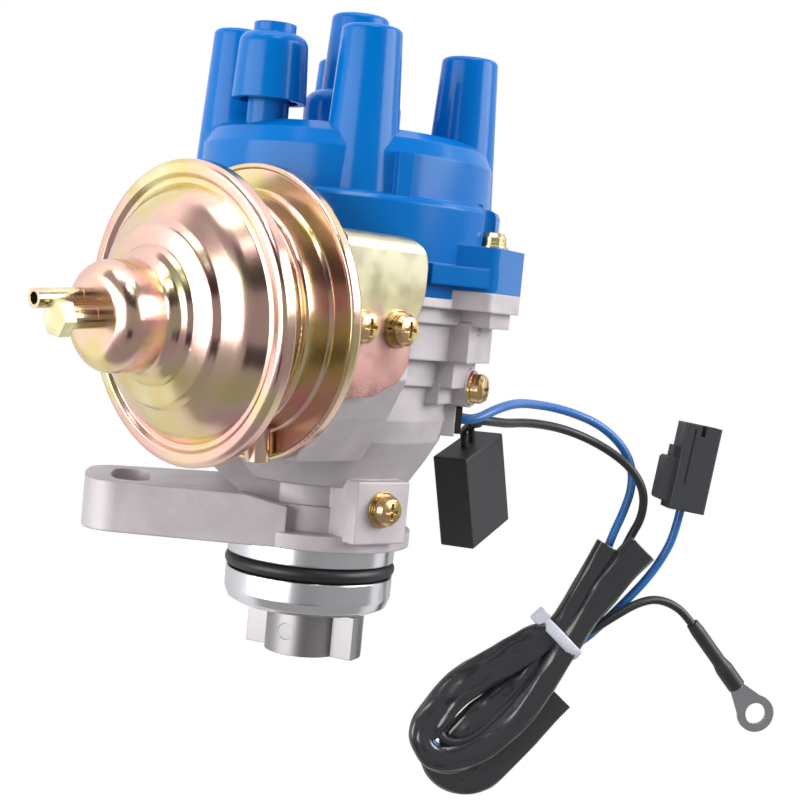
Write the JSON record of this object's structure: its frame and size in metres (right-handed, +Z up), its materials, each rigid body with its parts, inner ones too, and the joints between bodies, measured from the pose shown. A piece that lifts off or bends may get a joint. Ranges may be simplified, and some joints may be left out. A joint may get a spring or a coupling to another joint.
{
  "type": "ignition distributor",
  "caption": "Ignition distributor with a cast housing, towered blue cap, twin-diaphragm vacuum advance, noise filter and a folded lead with a plug and an earth ring",
  "frame": {"origin": "on the shaft's axis, in the plane of the flange's seat", "axes": "+Y along the shaft towards the cap, -X towards the slotted ear, +Z up from the table the object lies on in the picture"},
  "size_m": [0.2275, 0.217, 0.1222],
  "materials": {
    "cast_aluminium": "as cast, bead blasted",
    "black_rubber": "moulded",
    "bronze": "sintered, oiled",
    "steel": "machined and pressed",
    "sintered_steel": "sintered, turned",
    "blue_phenolic": "moulded, semi-gloss",
    "brass": "turned",
    "black_plastic": "moulded",
    "gasket": "pressed fibre",
    "carbon": "pressed carbon",
    "yellow_zinc": "zinc plated, yellow passivated",
    "black_pvc": "extruded, satin",
    "blue_pvc": "extruded, satin",
    "nylon": "moulded nylon",
    "tinned_copper": "pressed, tinned"
  },
  "bodies": {
    "body": {"housing": "cast_aluminium", "pilot_seal": "black_rubber", "lower_bush": "bronze", "oil_seal": "black_rubber", "bearing_outer_race": "steel", "bearing_balls": "steel", "base_plate": "steel", "distributor_cap": "blue_phenolic", "cap_terminals": "brass", "brush_spring": "steel", "cap_gasket": "gasket", "cap_screws": "yellow_zinc", "vacuum_front_cover": "yellow_zinc", "vacuum_drum": "yellow_zinc", "vacuum_rear_cover": "yellow_zinc", "rear_diaphragm": "black_rubber", "front_diaphragm": "black_rubber", "spring_seat": "yellow_zinc", "return_spring": "steel", "vacuum_nipple": "yellow_zinc", "port_plug": "yellow_zinc", "lower_stub": "yellow_zinc", "unit_bracket": "yellow_zinc", "housing_screws": "yellow_zinc", "screw_washers": "yellow_zinc", "wire_grommet": "black_rubber", "sleeve_hank": "black_pvc", "cable_tie": "nylon", "blue_lead": "blue_pvc", "black_lead": "black_pvc", "blue_tail": "blue_pvc", "earth_tail": "black_pvc", "heat_shrink": "black_pvc", "ring_terminal": "tinned_copper", "connector_housing": "black_plastic", "connector_terminals": "tinned_copper", "noise_filter": "black_plastic", "filter_lead_a": "black_pvc", "filter_lead_b": "black_pvc", "retaining_ring": "steel"},
    "shaft": {"shaft": "steel", "bearing_inner_race": "steel", "thrust_washer": "bronze", "drive_dog": "sintered_steel", "dog_pin": "steel", "weight_plate": "steel", "advance_springs": "steel"},
    "weight_a": {"advance_weight_a": "steel"},
    "weight_b": {"advance_weight_b": "steel"},
    "advance": {"advance_sleeve": "steel", "reluctor": "steel", "rotor_arm": "black_plastic", "rotor_contact": "brass"},
    "pickup": {"pickup_plate": "steel", "pickup_coil": "black_plastic", "pole_piece": "steel", "rod_clip": "steel"},
    "rod": {"pull_rod": "yellow_zinc", "rod_plates": "yellow_zinc"},
    "brush": {"centre_brush": "carbon"}
  },
  "joints": [
    {"name": "shaft_spin", "type": "hinge", "parent": "body", "child": "shaft", "pos_m": [0, 0, 0], "axis": [0, 1, 0], "continuous": true},
    {"name": "advance_turn", "type": "hinge", "parent": "shaft", "child": "advance", "pos_m": [0, 0, 0], "axis": [0, 1, 0], "range_deg": [0, 10.8], "stiffness_Nm_per_rad": 0.2, "springref_deg": -2.86, "deforming": ["advance_springs"]},
    {"name": "weight_a_swing", "type": "hinge", "parent": "shaft", "child": "weight_a", "pos_m": [0.0155, 0, 0], "axis": [0, 1, 0], "range_deg": [0, 12]},
    {"name": "weight_b_swing", "type": "hinge", "parent": "shaft", "child": "weight_b", "pos_m": [-0.0155, 0, 0], "axis": [0, 1, 0], "range_deg": [0, 12]},
    {"name": "vacuum_turn", "type": "hinge", "parent": "body", "child": "pickup", "pos_m": [0, 0, 0], "axis": [0, -1, 0], "range_deg": [0, 10], "stiffness_Nm_per_rad": 0.5, "springref_deg": -5.73, "deforming": ["return_spring", "rear_diaphragm"]},
    {"name": "rod_slide", "type": "slide", "parent": "body", "child": "rod", "axis": [-0.7859, 0, 0.6184], "range_m": [0, 0.00288]},
    {"name": "brush_slide", "type": "slide", "parent": "body", "child": "brush", "axis": [0, 1, 0], "range_m": [0, 0.0015], "stiffness_N_per_m": 200, "springref_m": -0.003, "deforming": ["brush_spring"]}
  ],
  "couplings": [
    {"joint": "weight_a_swing", "follows": "advance_turn", "ratio": 1.111},
    {"joint": "weight_b_swing", "follows": "advance_turn", "ratio": 1.111},
    {"joint": "rod_slide", "follows": "vacuum_turn", "m_per_rad": 0.016442}
  ]
}
